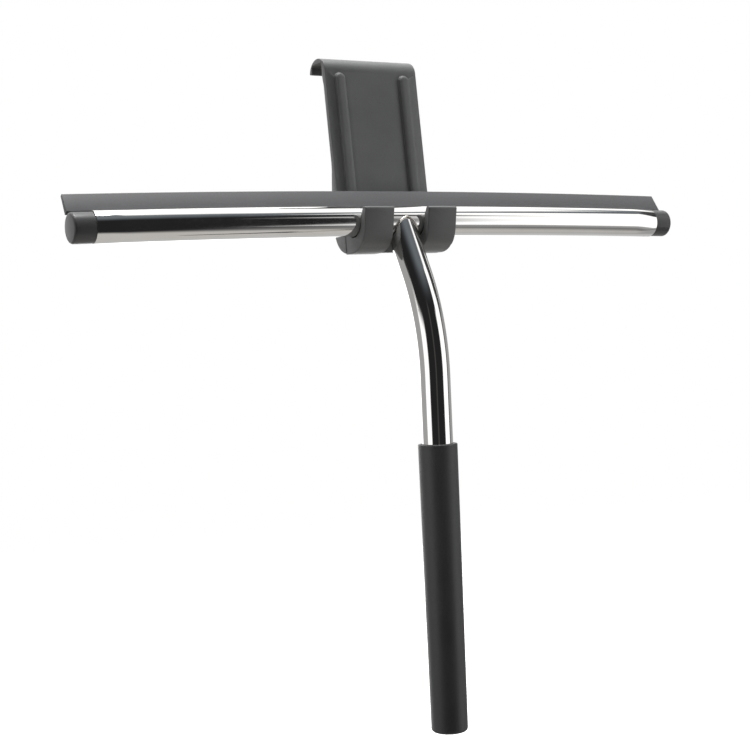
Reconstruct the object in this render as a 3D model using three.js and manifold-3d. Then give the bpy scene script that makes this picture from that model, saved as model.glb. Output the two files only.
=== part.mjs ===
// A shower squeegee hanging in its over-the-screen holder.
// Millimetres. +X runs along the bar, +Y points at the glass screen, +Z is up.
// The origin is the middle of the hook's flat seat, which rests on the top edge of the glass.
import * as THREE from "three";
import { mergeVertices } from "three/addons/utils/BufferGeometryUtils.js";
import Module from "manifold-3d";

const wasm = await Module();
wasm.setup();

// ---- Driving dimensions ------------------------------------------------------------------

const GAP = 0.3; // between pieces that touch
const ROUND = 40; // facets round a tube

// crossbar: a slotted tube, bowed a little towards the blade
const BAR_DIAMETER = 12.7;
const BAR_WALL = 1.0;
const BAR_LENGTH = 269.2;
const BAR_BOW = 2.15; // how far the ends lie behind the middle
const BLADE_LEAN = 28.2; // degrees from upright, towards the glass

// blade: a bulb in the bore, a neck in the slot and a tapered lip outside
const BULB_DIAMETER = 5.2;
const NECK_THICKNESS = 1.8;
const LIP_BASE_THICKNESS = 2.4;
const LIP_TIP_THICKNESS = 1.3;
const LIP_HEIGHT = 8.75; // from the bar's surface to the tip
const CORE_DIAMETER = 1.8;

// end caps
const CAP_LENGTH = 8.8;
const CAP_STEP = 0.35; // how far the collar stands back from the tube's surface
const CAP_ROUNDING = 1.0;
const CAP_PLUG_LENGTH = 9;

// handle: a bent tube welded to the front of the bar
const HANDLE_DIAMETER = 12.7;
const HANDLE_WALL = 1.0;
const HANDLE_TOP_ANGLE = 25.3; // degrees forward of straight down
const HANDLE_LOW_ANGLE = -3.2;
const HANDLE_BEND_RADIUS = 89.5;
const HANDLE_TOP_LENGTH = 25.4; // bar axis to the start of the bend
const HANDLE_STRAIGHT = 27.4; // from the end of the bend to the grip
const WELD_SIZE = 0.8; // radius of the bead

// grip: a soft sleeve with a closed end
const GRIP_LENGTH = 118.4;
const GRIP_TOP_WALL = 1.45;
const GRIP_LOW_WALL = 0.9;
const GRIP_FLOOR = 3;
const GRIP_ROUNDING = 1.3;
const PLUG_LENGTH = 12;
const PLUG_HEAD = 1.5;

// holder: one moulding with a plate, a hook, a foot, two cradles and two ribs
const PLATE_WIDTH = 44.9;
const PLATE_THICKNESS = 2.55;
const PLATE_LEAN = 3.15; // degrees from upright, towards the glass
const PLATE_STANDOFF = 3.65; // from the cradles' bore to the plate's front, at the bar's height
const GLASS_STANDOFF = 10.3; // from the cradles' bore to the glass
const HOOK_TOP = 72; // above the bar's axis
const HOOK_ROUND = 6; // height of the hook's round top
const HOOK_LIP = 5.5; // from the top of the hook to the bottom of its rear lip
const GLASS_SLOT = 8.4; // for a screen 8 mm thick
const LIP_WALL = 2.3; // of the hook's rear lip
const SEAT_DROP = 2.2; // from the top of the hook to its seat
const CRADLE_CLEARANCE = 0.35; // round the bar
const HANDLE_CLEARANCE = 0.9; // between the cradles and the weld at the top of the handle
const CRADLE_WALL = 2.8;
const CRADLE_LEAN = 1.8; // how far the front lips lean out
const CRADLE_RISE = 4.9; // top of the front lips, above the bar's axis
const CRADLE_FLOOR = 6.4; // under the bar
const CRADLE_INSET = 0.25; // how far their outer sides are set in from the plate's
const FOOT_TOP = 24;
const FOOT_STEP = 0.7; // how much higher the foot ends than the cradles
const PAD_THICKNESS = 1.2;
const PAD_RECESS = 0.5;
const PAD_LENGTH = 38;
const PAD_HEIGHT = 10;
const RIB_WIDTH = 5.6;
const RIB_HEIGHT = 1.6;
const RIB_BEVEL = 1.1;
const RIB_INSET = 6.75; // from the plate's side to the rib's middle
const RIB_DROP = 6.8; // from the top of the hook to the top of the ribs
const RIB_BOTTOM = 10;

// ---- Values that follow from them ----------------------------------------------------------

const BAR_R = BAR_DIAMETER / 2;
const BORE_R = BAR_R - BAR_WALL;
const BULB_R = BULB_DIAMETER / 2;
const BULB_CENTRE = BORE_R - GAP - BULB_R;
const HALF_BAR = BAR_LENGTH / 2;
const HALF_SPAN = HALF_BAR + CAP_LENGTH;
const SLOT_WIDTH = NECK_THICKNESS + 2 * GAP;
const CORE_R = CORE_DIAMETER / 2;
const HANDLE_R = HANDLE_DIAMETER / 2;
const HANDLE_BORE_R = HANDLE_R - HANDLE_WALL;
const HANDLE_TOP = Math.sqrt(Math.max(HANDLE_R ** 2 - BAR_R ** 2, 0)); // where it clears a thinner bar
const TOP_ANGLE = THREE.MathUtils.degToRad(HANDLE_TOP_ANGLE);
const LOW_ANGLE = THREE.MathUtils.degToRad(HANDLE_LOW_ANGLE);
const BEND_LENGTH = HANDLE_BEND_RADIUS * (TOP_ANGLE - LOW_ANGLE);
const GRIP_START = HANDLE_TOP_LENGTH + BEND_LENGTH + HANDLE_STRAIGHT;
const HANDLE_END = GRIP_START + GRIP_LENGTH - GRIP_FLOOR - PLUG_HEAD - 2 * GAP;
const CRADLE_R = BAR_R + CRADLE_CLEARANCE;
const CRADLE_INNER = HANDLE_R + GAP + WELD_SIZE + HANDLE_CLEARANCE;
const CRADLE_BOTTOM = CRADLE_R + CRADLE_FLOOR;
const FOOT_BOTTOM = CRADLE_BOTTOM - FOOT_STEP;
const GLASS_PLANE = CRADLE_R + GLASS_STANDOFF;
const HALF_PLATE = PLATE_WIDTH / 2;
const CRADLE_OUTER = HALF_PLATE - CRADLE_INSET;
const PLATE_SLOPE = Math.tan(THREE.MathUtils.degToRad(PLATE_LEAN));
const SEAT_Z = HOOK_TOP - SEAT_DROP;
const SEAT_Y = GLASS_PLANE + GLASS_SLOT / 2;
const FOOT_BACK = GLASS_PLANE - PAD_THICKNESS - GAP + PAD_RECESS;

const plateFront = (z) => CRADLE_R + PLATE_STANDOFF + PLATE_SLOPE * z;
const plateBack = (z) => plateFront(z) + PLATE_THICKNESS;

// ---- Materials -----------------------------------------------------------------------------

const polishedSteel = new THREE.MeshStandardMaterial({ color: 0xd9d7d2, metalness: 1, roughness: 0.06 });
const weldSteel = new THREE.MeshStandardMaterial({ color: 0xb9b6b0, metalness: 1, roughness: 0.3 });
const greySilicone = new THREE.MeshStandardMaterial({ color: 0x7b7b7d, roughness: 0.55 });
const capPlastic = new THREE.MeshStandardMaterial({ color: 0x3b3b3b, roughness: 0.45 });
const gripRubber = new THREE.MeshStandardMaterial({ color: 0x343436, roughness: 0.6 });
const holderPlastic = new THREE.MeshStandardMaterial({ color: 0x525454, roughness: 0.55 });
const padSilicone = new THREE.MeshStandardMaterial({ color: 0x2c2c2d, roughness: 0.7 });
const innerPlastic = new THREE.MeshStandardMaterial({ color: 0x1e1e1f, roughness: 0.6 });

// ---- Helpers -------------------------------------------------------------------------------

// A closed geometry as a manifold-3d solid, for cutting and joining.
function solid(geometry) {
  const bare = geometry.clone();
  bare.deleteAttribute("normal");
  bare.deleteAttribute("uv");
  const merged = mergeVertices(bare, 1e-4);
  const triVerts = new Uint32Array(merged.index.array);
  return new wasm.Manifold(
    new wasm.Mesh({ numProp: 3, vertProperties: merged.attributes.position.array, triVerts }),
  );
}

// A manifold-3d solid back as a geometry with flat faces.
function surface(body) {
  const mesh = body.getMesh();
  const geometry = new THREE.BufferGeometry();
  geometry.setAttribute("position", new THREE.BufferAttribute(mesh.vertProperties, 3));
  geometry.setIndex(new THREE.BufferAttribute(mesh.triVerts, 1));
  const flat = geometry.toNonIndexed();
  flat.computeVertexNormals();
  return flat;
}

// Extrudes a shape drawn in the YZ plane along X, from one x to another.
const YZ_PLANE = new THREE.Matrix4().makeBasis(
  new THREE.Vector3(0, 1, 0),
  new THREE.Vector3(0, 0, 1),
  new THREE.Vector3(1, 0, 0),
);

function extrudeX(shape, from, to, { steps = 1, curveSegments = 12 } = {}) {
  const geometry = new THREE.ExtrudeGeometry(shape, {
    depth: to - from,
    steps,
    curveSegments,
    bevelEnabled: false,
  });
  return geometry.translate(0, 0, from).applyMatrix4(YZ_PLANE);
}

// Bows a straight geometry along the bar: the ends move back along local -Z.
function bow(geometry) {
  const position = geometry.attributes.position;
  for (let i = 0; i < position.count; i++) {
    const share = position.getX(i) / HALF_SPAN;
    position.setZ(i, position.getZ(i) - BAR_BOW * share * share);
  }
  geometry.computeVertexNormals();
  return geometry;
}

function piece(name, geometry, material) {
  const mesh = new THREE.Mesh(geometry, material);
  mesh.name = name;
  return mesh;
}

const cylinderX = (radius, length) =>
  new THREE.CylinderGeometry(radius, radius, length, ROUND).rotateZ(Math.PI / 2);

// ---- Crossbar, blade and caps, in the bar's own frame: local +Z is the way the blade points ----

function crossbarTube() {
  const outer = Math.asin(SLOT_WIDTH / 2 / BAR_R);
  const inner = Math.asin(SLOT_WIDTH / 2 / BORE_R);
  const section = new THREE.Shape();
  section.absarc(0, 0, BAR_R, Math.PI / 2 + outer, Math.PI * 2.5 - outer, false);
  section.absarc(0, 0, BORE_R, Math.PI * 2.5 - inner, Math.PI / 2 + inner, true);
  section.closePath();
  return bow(extrudeX(section, -HALF_BAR, HALF_BAR, { steps: 12, curveSegments: ROUND / 2 }));
}

// The lip stands on the bar's surface and runs over both caps.
function bladeLip() {
  const base = BAR_R + GAP;
  const tip = BAR_R + LIP_HEIGHT;
  const section = new THREE.Shape();
  section.moveTo(-LIP_BASE_THICKNESS / 2, base);
  section.lineTo(LIP_BASE_THICKNESS / 2, base);
  section.lineTo(LIP_TIP_THICKNESS / 2, tip);
  section.lineTo(-LIP_TIP_THICKNESS / 2, tip);
  section.closePath();
  return extrudeX(section, -HALF_SPAN, HALF_SPAN, { steps: 12 });
}

// The bulb and neck stop at the ends of the tube. The bulb is hollow for the core.
function bladeRoot() {
  const half = NECK_THICKNESS / 2;
  const inBulb = Math.acos(half / BULB_R);
  const section = new THREE.Shape();
  section.absarc(0, BULB_CENTRE, BULB_R, Math.PI - inBulb, Math.PI * 2 + inBulb, false);
  section.lineTo(half, BAR_R + 2 * GAP);
  section.lineTo(-half, BAR_R + 2 * GAP);
  section.closePath();
  const hole = new THREE.Path();
  hole.absarc(0, BULB_CENTRE, CORE_R + GAP, 0, Math.PI * 2, true);
  section.holes.push(hole);
  const end = HALF_BAR - GAP;
  return extrudeX(section, -end, end, { steps: 12, curveSegments: 8 });
}

function blade() {
  const joined = solid(bow(bladeLip())).add(solid(bow(bladeRoot())));
  return surface(joined);
}

function bladeCore() {
  const section = new THREE.Shape();
  section.absarc(0, BULB_CENTRE, CORE_R, 0, Math.PI * 2, false);
  const end = HALF_BAR - 2 * GAP;
  return bow(extrudeX(section, -end, end, { steps: 12, curveSegments: 5 }));
}

// A round collar a little smaller than the tube, and a plug in the bore, cut away for the bulb.
function endCap() {
  const collarR = BAR_R - CAP_STEP;
  const plugR = BORE_R - GAP;
  const inside = HALF_BAR - CAP_PLUG_LENGTH;
  const collar = HALF_BAR + GAP;
  const profile = [
    new THREE.Vector2(0, inside),
    new THREE.Vector2(plugR - 0.8, inside),
    new THREE.Vector2(plugR, inside + 0.8),
    new THREE.Vector2(plugR, collar),
    new THREE.Vector2(collarR, collar),
  ];
  const cornerSteps = 5;
  for (let i = 0; i <= cornerSteps; i++) {
    const turn = (i / cornerSteps) * (Math.PI / 2);
    profile.push(
      new THREE.Vector2(
        collarR - CAP_ROUNDING * (1 - Math.cos(turn)),
        HALF_SPAN - CAP_ROUNDING * (1 - Math.sin(turn)),
      ),
    );
  }
  profile.push(new THREE.Vector2(0, HALF_SPAN));
  const turned = new THREE.LatheGeometry(profile, ROUND).rotateZ(-Math.PI / 2);
  const room = new THREE.BoxGeometry(CAP_PLUG_LENGTH + GAP, BAR_DIAMETER, BAR_DIAMETER);
  room.translate(collar - (CAP_PLUG_LENGTH + GAP) / 2, 0, BULB_CENTRE - BULB_R - GAP + BAR_R);
  return bow(surface(solid(turned).subtract(solid(room))));
}

// ---- Handle, in the squeegee's frame: the bar's axis is at the origin --------------------------

// The handle's centre line: straight, a round bend, straight. Its parameter is the length along it.
class HandleLine extends THREE.Curve {
  constructor(from, to) {
    super();
    this.from = from;
    this.to = to;
  }

  at(length) {
    const bent = THREE.MathUtils.clamp(length - HANDLE_TOP_LENGTH, 0, BEND_LENGTH);
    const angle = TOP_ANGLE - bent / HANDLE_BEND_RADIUS;
    const top = Math.min(length, HANDLE_TOP_LENGTH);
    const low = Math.max(length - HANDLE_TOP_LENGTH - BEND_LENGTH, 0);
    const forward =
      top * Math.sin(TOP_ANGLE) +
      HANDLE_BEND_RADIUS * (Math.cos(angle) - Math.cos(TOP_ANGLE)) +
      low * Math.sin(LOW_ANGLE);
    const down =
      top * Math.cos(TOP_ANGLE) +
      HANDLE_BEND_RADIUS * (Math.sin(TOP_ANGLE) - Math.sin(angle)) +
      low * Math.cos(LOW_ANGLE);
    return new THREE.Vector3(0, -forward, -down);
  }

  getPoint(t, target = new THREE.Vector3()) {
    return target.copy(this.at(this.from + t * (this.to - this.from)));
  }
}

function handleTube() {
  const section = new THREE.Shape();
  section.absarc(0, 0, HANDLE_R, 0, Math.PI * 2, false);
  const bore = new THREE.Path();
  bore.absarc(0, 0, HANDLE_BORE_R, 0, Math.PI * 2, true);
  section.holes.push(bore);
  const tube = new THREE.ExtrudeGeometry(section, {
    extrudePath: new HandleLine(HANDLE_TOP, HANDLE_END),
    steps: 30,
    curveSegments: 16,
    bevelEnabled: false,
  });
  const bar = cylinderX(BAR_R + GAP, 4 * BAR_DIAMETER);
  return surface(solid(tube).subtract(solid(bar)));
}

// A ring round the top of the handle, lifted over the bar's curve and cut back from both tubes.
function weldBead() {
  const ringR = HANDLE_R + GAP;
  const ring = new THREE.TorusGeometry(ringR, WELD_SIZE, 8, ROUND);
  const position = ring.attributes.position;
  const overBar = BAR_R + WELD_SIZE;
  for (let i = 0; i < position.count; i++) {
    const sideways = ringR * Math.sin(Math.atan2(position.getY(i), position.getX(i)));
    const lift = Math.sqrt(Math.max(overBar * overBar - sideways * sideways, 0));
    position.setZ(i, position.getZ(i) + Math.max(lift, HANDLE_TOP));
  }
  ring.rotateX(Math.PI - TOP_ANGLE);
  const handle = new THREE.CylinderGeometry(HANDLE_R + GAP, HANDLE_R + GAP, 4 * BAR_DIAMETER, ROUND);
  handle.rotateX(Math.PI / 2).rotateX(Math.PI - TOP_ANGLE);
  const bar = cylinderX(BAR_R + GAP, 4 * BAR_DIAMETER);
  return surface(solid(ring).subtract(solid(handle)).subtract(solid(bar)));
}

// The grip and the plug are turned about the handle's lower axis: local -Y runs down it.
function gripSleeve() {
  const inner = HANDLE_R + GAP;
  const topR = inner + GRIP_TOP_WALL;
  const lowR = inner + GRIP_LOW_WALL;
  const lip = (topR - inner) / 3;
  const profile = [
    new THREE.Vector2(0, -GRIP_LENGTH),
    new THREE.Vector2(lowR - GRIP_ROUNDING, -GRIP_LENGTH),
    new THREE.Vector2(lowR - GRIP_ROUNDING * 0.3, -GRIP_LENGTH + GRIP_ROUNDING * 0.3),
    new THREE.Vector2(lowR, -GRIP_LENGTH + GRIP_ROUNDING),
    new THREE.Vector2(topR, -lip),
    new THREE.Vector2(topR - lip, 0),
    new THREE.Vector2(inner, 0),
    new THREE.Vector2(inner, -GRIP_LENGTH + GRIP_FLOOR),
    new THREE.Vector2(0, -GRIP_LENGTH + GRIP_FLOOR),
  ];
  return new THREE.LatheGeometry(profile, ROUND);
}

function handleEndPlug() {
  const stem = HANDLE_BORE_R - GAP;
  const profile = [
    new THREE.Vector2(0, -GAP - PLUG_HEAD),
    new THREE.Vector2(HANDLE_R - GAP, -GAP - PLUG_HEAD),
    new THREE.Vector2(HANDLE_R - GAP, -GAP),
    new THREE.Vector2(stem, -GAP),
    new THREE.Vector2(stem, PLUG_LENGTH - 1),
    new THREE.Vector2(stem - 1, PLUG_LENGTH),
    new THREE.Vector2(0, PLUG_LENGTH),
  ];
  return new THREE.LatheGeometry(profile, 24);
}

// ---- Holder, in the frame of the bar's axis at rest ---------------------------------------------

// The side view of the plate, with the hook over the glass at the top and the foot at the bottom.
function holderProfile() {
  const shoulder = HOOK_TOP - HOOK_ROUND;
  const front = plateFront(shoulder);
  const lipFront = GLASS_PLANE + GLASS_SLOT;
  const radiusY = (lipFront + LIP_WALL - front) / 2;
  const lipBottom = HOOK_TOP - HOOK_LIP;
  const lipTurn = Math.asin((HOOK_ROUND - HOOK_LIP) / HOOK_ROUND);
  const corner = 1;
  const s = new THREE.Shape();
  s.moveTo(CRADLE_R, -FOOT_BOTTOM);
  s.lineTo(CRADLE_R, 5);
  s.lineTo(plateFront(9), 9);
  s.lineTo(front, shoulder);
  s.absellipse(front + radiusY, shoulder, radiusY, HOOK_ROUND, Math.PI, lipTurn, true);
  s.lineTo(lipFront + 0.4, lipBottom - 0.5);
  s.lineTo(lipFront, lipBottom);
  s.lineTo(lipFront, SEAT_Z - corner);
  s.absarc(lipFront - corner, SEAT_Z - corner, corner, 0, Math.PI / 2, false);
  s.lineTo(GLASS_PLANE + corner, SEAT_Z);
  s.absarc(GLASS_PLANE + corner, SEAT_Z - corner, corner, Math.PI / 2, Math.PI, false);
  s.lineTo(GLASS_PLANE, shoulder - 2);
  s.lineTo(plateBack(shoulder - 4.5), shoulder - 4.5);
  s.lineTo(plateBack(FOOT_TOP), FOOT_TOP);
  s.lineTo(FOOT_BACK, PAD_HEIGHT + 1.5);
  s.lineTo(FOOT_BACK, -0.5);
  s.quadraticCurveTo(FOOT_BACK - 0.5, -FOOT_BOTTOM + 2.4, CRADLE_R + 1.3, -FOOT_BOTTOM);
  s.closePath();
  return s;
}

// The side view of one cradle: a hook under the bar with a lip in front of it.
function cradleProfile() {
  const lipIn = -CRADLE_R - CRADLE_LEAN;
  const lipOut = lipIn - CRADLE_WALL;
  const tip = CRADLE_WALL / 2;
  const s = new THREE.Shape();
  s.moveTo(CRADLE_R + 1, 0);
  s.lineTo(CRADLE_R, 0);
  s.absarc(0, 0, CRADLE_R, 0, -Math.PI, true);
  s.quadraticCurveTo(-CRADLE_R, 2, lipIn, CRADLE_RISE - 0.6);
  s.quadraticCurveTo(lipIn, CRADLE_RISE, lipIn - tip, CRADLE_RISE);
  s.quadraticCurveTo(lipOut, CRADLE_RISE, lipOut, CRADLE_RISE - 0.9);
  s.lineTo(-CRADLE_R - CRADLE_WALL - 0.4, -2);
  s.bezierCurveTo(-CRADLE_R - 2.5, -7, -5.5, -CRADLE_BOTTOM + 0.5, 3, -CRADLE_BOTTOM);
  s.lineTo(CRADLE_R + 1, -CRADLE_BOTTOM + 0.4);
  s.closePath();
  return s;
}

// A rib is a rounded bar that stands on the plate's front and leans with it.
function rib(side) {
  const half = RIB_WIDTH / 2;
  const length = HOOK_TOP - RIB_DROP - RIB_BOTTOM;
  const outline = new THREE.Shape();
  outline.moveTo(-half, 0);
  outline.lineTo(half, 0);
  outline.lineTo(half, length - half);
  outline.absarc(0, length - half, half, 0, Math.PI, false);
  outline.closePath();
  const buried = PLATE_THICKNESS / 2;
  const body = new THREE.ExtrudeGeometry(outline, {
    depth: buried + RIB_HEIGHT - 2 * RIB_BEVEL,
    bevelThickness: RIB_BEVEL,
    bevelSize: RIB_BEVEL,
    bevelOffset: -RIB_BEVEL,
    bevelSegments: 2,
    curveSegments: 8,
  });
  body.translate(0, 0, RIB_BEVEL - buried);
  body.rotateX(Math.PI / 2);
  body.rotateX(-THREE.MathUtils.degToRad(PLATE_LEAN));
  body.translate(side * (HALF_PLATE - RIB_INSET), plateFront(RIB_BOTTOM), RIB_BOTTOM);
  return body;
}

function holderBody() {
  let body = solid(extrudeX(holderProfile(), -HALF_PLATE, HALF_PLATE, { curveSegments: 10 }));
  for (const side of [-1, 1]) {
    const [from, to] = side < 0 ? [-CRADLE_OUTER, -CRADLE_INNER] : [CRADLE_INNER, CRADLE_OUTER];
    const cradle = extrudeX(cradleProfile(), from, to, { curveSegments: 10 });
    body = body.add(solid(cradle));
    body = body.add(solid(rib(side)));
  }
  const recess = new THREE.BoxGeometry(PAD_LENGTH + 2 * GAP, 2 * PAD_RECESS, PAD_HEIGHT + 2 * GAP);
  recess.translate(0, FOOT_BACK, PAD_HEIGHT / 2);
  return surface(body.subtract(solid(recess)));
}

function backPad() {
  return new THREE.BoxGeometry(PAD_LENGTH, PAD_THICKNESS, PAD_HEIGHT);
}

// ---- Assembly ------------------------------------------------------------------------------

const bar = new THREE.Group();
bar.rotation.x = -THREE.MathUtils.degToRad(BLADE_LEAN);
bar.add(piece("crossbar_tube", crossbarTube(), polishedSteel));
bar.add(piece("blade", blade(), greySilicone));
bar.add(piece("blade_core", bladeCore(), innerPlastic));
bar.add(piece("end_cap_right", endCap(), capPlastic));
const leftCap = piece("end_cap_left", endCap(), capPlastic);
leftCap.rotation.z = Math.PI;
bar.add(leftCap);

const line = new HandleLine(HANDLE_TOP, HANDLE_END);
const grip = piece("grip_sleeve", gripSleeve(), gripRubber);
grip.position.copy(line.at(GRIP_START));
grip.rotation.x = Math.PI / 2 - LOW_ANGLE;
const plug = piece("handle_end_plug", handleEndPlug(), innerPlastic);
plug.position.copy(line.at(HANDLE_END));
plug.rotation.x = Math.PI / 2 - LOW_ANGLE;

const squeegee = new THREE.Group();
squeegee.add(bar);
squeegee.add(piece("handle_tube", handleTube(), polishedSteel));
squeegee.add(piece("weld_bead", weldBead(), weldSteel));
squeegee.add(grip, plug);

const pad = piece("back_pad", backPad(), padSilicone);
pad.position.set(0, GLASS_PLANE - PAD_THICKNESS / 2, PAD_HEIGHT / 2);
const holder = new THREE.Group();
holder.add(piece("holder_body", holderBody(), holderPlastic));
holder.add(pad);

const model = new THREE.Group();
model.add(holder, squeegee);
for (const part of [holder, squeegee]) part.position.set(0, -SEAT_Y, -SEAT_Z);

export default model;
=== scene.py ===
# %% [markdown]
# # A shower squeegee hanging in its holder
# The real thing is a short list of simple pieces: a polished slotted tube with a silicone blade, two
# plugs that close it, a bent tube welded on as a handle, a soft sleeve to hold it by, and one plastic
# moulding that hooks over a glass screen and carries the bar in two cradles. The CAD model gives their
# places and sizes. This script gives each one its finished surface.

# %% Load the frame
import math

import bmesh
import bpy
from mathutils import Matrix, Vector


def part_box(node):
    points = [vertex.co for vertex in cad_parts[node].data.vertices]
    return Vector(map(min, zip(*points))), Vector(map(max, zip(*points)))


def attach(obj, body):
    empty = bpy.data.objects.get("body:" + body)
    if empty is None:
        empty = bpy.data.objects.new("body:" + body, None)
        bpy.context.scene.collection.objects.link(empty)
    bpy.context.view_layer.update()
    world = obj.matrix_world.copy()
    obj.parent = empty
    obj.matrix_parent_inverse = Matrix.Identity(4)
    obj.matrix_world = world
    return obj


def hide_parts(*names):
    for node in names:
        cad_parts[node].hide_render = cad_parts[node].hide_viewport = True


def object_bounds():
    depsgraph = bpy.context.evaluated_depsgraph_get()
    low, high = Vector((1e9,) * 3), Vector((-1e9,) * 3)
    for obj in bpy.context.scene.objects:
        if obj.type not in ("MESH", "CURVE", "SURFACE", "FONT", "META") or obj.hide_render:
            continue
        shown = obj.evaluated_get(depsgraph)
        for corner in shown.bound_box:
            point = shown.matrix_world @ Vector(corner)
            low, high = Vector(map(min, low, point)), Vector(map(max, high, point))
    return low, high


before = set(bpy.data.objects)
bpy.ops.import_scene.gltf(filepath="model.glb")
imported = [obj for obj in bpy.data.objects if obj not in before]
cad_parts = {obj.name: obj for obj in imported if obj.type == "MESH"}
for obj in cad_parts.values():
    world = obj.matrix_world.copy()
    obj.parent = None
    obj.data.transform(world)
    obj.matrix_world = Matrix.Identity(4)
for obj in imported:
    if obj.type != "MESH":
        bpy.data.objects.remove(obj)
cad_low, cad_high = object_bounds()
print("CAD box, metres:", [round(v, 4) for v in (*cad_low, *cad_high)])

# %% [markdown]
# Everything below is written in millimetres and turned into metres once. The bar's axis is the natural
# centre of this object, so the pieces are built round it. The CAD tube's box gives the axis: its top and
# its back are one radius away. The value is rounded to a tenth of a millimetre, because the facets of
# the CAD tube lie a hair inside its true circle.

# %% The bar's axis
MM = 0.001
BAR_R = 6.35 * MM
tube_low, tube_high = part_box("crossbar_tube")
BAR_AXIS = Vector((0, round(tube_high.y - BAR_R, 4), round(tube_high.z - BAR_R, 4)))
HALF_BAR = tube_high.x
HALF_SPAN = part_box("end_cap_right")[1].x
print("bar axis at", tuple(round(v, 4) for v in BAR_AXIS), "half length", round(HALF_BAR, 4))

# %% [markdown]
# ## Camera
# The camera stands in front and to the left, a little lower than the bar, and is tipped slightly to one
# side, so the blade runs gently downhill to the right. A long lens keeps the perspective mild. The turn,
# the lift and the tip are three separate rotations, which is easier to read than one Euler triple.

# %% Place the camera
CAMERA_FROM_BAR = Vector((-325.0, -532.4, -69.9)) * MM
CAMERA_TURN = math.radians(-30.06)
CAMERA_LIFT = math.radians(0.575)
CAMERA_TIP = math.radians(-4.13)

camera_data = bpy.data.cameras.new("camera")
camera_data.sensor_width = 36
camera_data.lens = 71.46
camera_data.clip_start = 0.01
camera = bpy.data.objects.new("camera", camera_data)
bpy.context.collection.objects.link(camera)
camera.matrix_world = (
    Matrix.Translation(BAR_AXIS + CAMERA_FROM_BAR)
    @ Matrix.Rotation(CAMERA_TURN, 4, "Z")
    @ Matrix.Rotation(math.pi / 2 + CAMERA_LIFT, 4, "X")
    @ Matrix.Rotation(CAMERA_TIP, 4, "Z")
)
bpy.context.scene.camera = camera
bpy.context.scene.view_settings.view_transform = "Standard"
print("camera at", tuple(round(v, 3) for v in camera.location))

# %% [markdown]
# ## Studio
# Polished tube is a mirror, so the light IS its finish: what looks like paint on the steel is the room
# bent round a cylinder. A product studio has a big white panel overhead, a tall one on each side, a pale
# table, and darkness where the camera stands. One way is to hang real lamps and cards. They would
# show in views from other sides, so the room is drawn on the world instead, as panels given by their
# compass angle and height. The lens itself sees plain white behind the object.

# %% Helpers for node trees
def add_node(tree, kind, **values):
    """Adds a node. Values set its properties, or its inputs where they start with in_."""
    node = tree.nodes.new(kind)
    for key, value in values.items():
        if key.startswith("in_"):
            name = key[3:]
            node.inputs[int(name) if name.isdigit() else name].default_value = value
        else:
            setattr(node, key, value)
    return node


def maths(tree, operation, first, second=None):
    """One Math node. Each operand is a socket or a number."""
    node = add_node(tree, "ShaderNodeMath", operation=operation)
    for slot, value in zip(node.inputs, (first, second)):
        if isinstance(value, bpy.types.NodeSocket):
            tree.links.new(value, slot)
        elif value is not None:
            slot.default_value = value
    return node.outputs[0]


# %% The room as panels of light
def soft_band(tree, value, low, high, edge):
    """1 between low and high, fading to 0 over an edge on both sides."""
    sides = []
    for limit, sign in ((low, 1), (high, -1)):
        ramp = add_node(tree, "ShaderNodeMapRange", interpolation_type="SMOOTHSTEP", clamp=True)
        tree.links.new(value, ramp.inputs["Value"])
        ramp.inputs["From Min"].default_value = limit - sign * edge
        ramp.inputs["From Max"].default_value = limit + sign * edge
        sides.append(ramp.outputs["Result"])
    return maths(tree, "MULTIPLY", *sides)


def add_panel(tree, room, turn, height, colour, strength, edges=(4.0, 4.0)):
    """Adds one panel to the room: turn and height are (from, to) in degrees, edges are how soft."""
    so_far, azimuth, elevation = room
    mask = maths(
        tree,
        "MULTIPLY",
        soft_band(tree, azimuth, *turn, edges[0]),
        soft_band(tree, elevation, *height, edges[1]),
    )
    mix = add_node(tree, "ShaderNodeMix", data_type="RGBA", blend_type="MIX")
    tree.links.new(mask, mix.inputs["Factor"])
    tree.links.new(so_far, mix.inputs[6])
    mix.inputs[7].default_value = (*[c * strength for c in colour], 1)
    return mix.outputs[2], azimuth, elevation


WHITE = (1.0, 1.0, 1.0)
WARM = (1.0, 0.97, 0.93)
SLATE = (0.80, 0.90, 1.0)
ALL_ROUND = (-220, 220)
PANELS = [
    ("grey wall, left", (-220, -100), (-90, 90), WHITE, 0.40, (4, 4)),
    ("grey wall, right", (82, 220), (-90, 90), WHITE, 0.36, (4, 4)),
    ("pale wall, far right", (122, 220), (-90, 0), WHITE, 0.56, (10, 6)),
    ("white wall straight behind", (146, 220), (-22, 90), WHITE, 2.2, (10, 8)),
    ("white wall straight behind", (-220, -166), (-22, 90), WHITE, 2.2, (8, 8)),
    ("dim ceiling", (-30, 220), (43, 90), SLATE, 0.21, (40, 14)),
    ("dark doorway", (80, 104), (14, 46), WHITE, 0.06, (4, 4)),
    ("left panel", (-107, -72), (-20, 14), WHITE, 1.35, (4, 5)),
    ("foot of the right panel", (38, 80), (-43, -20), WHITE, 0.36, (8, 7)),
    ("right panel", (33, 73), (-30, 24), WHITE, 1.35, (3, 3)),
    ("right panel, upper part", (40, 69), (20, 44.5), WHITE, 1.35, (3, 2)),
    ("upper panel, right", (52, 135), (51.5, 78), WHITE, 1.35, (8, 2)),
    ("corner of the right panel", (30, 35), (18, 24), WHITE, 0.55, (1.5, 3)),
    ("a brown shelf in the dark", (-24, -17), (-60, 30), WARM, 0.07, (4, 4)),
    ("table", ALL_ROUND, (-90, -49), WARM, 0.56, (4, 9)),
    ("overhead lamp", ALL_ROUND, (75, 90), WHITE, 15.0, (4, 3)),
    ("upper panel behind, left", (-220, -95), (33, 70), WHITE, 1.5, (4, 4)),
    ("upper panel behind, right", (108, 220), (33, 70), WHITE, 1.5, (6, 4)),
]

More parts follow.
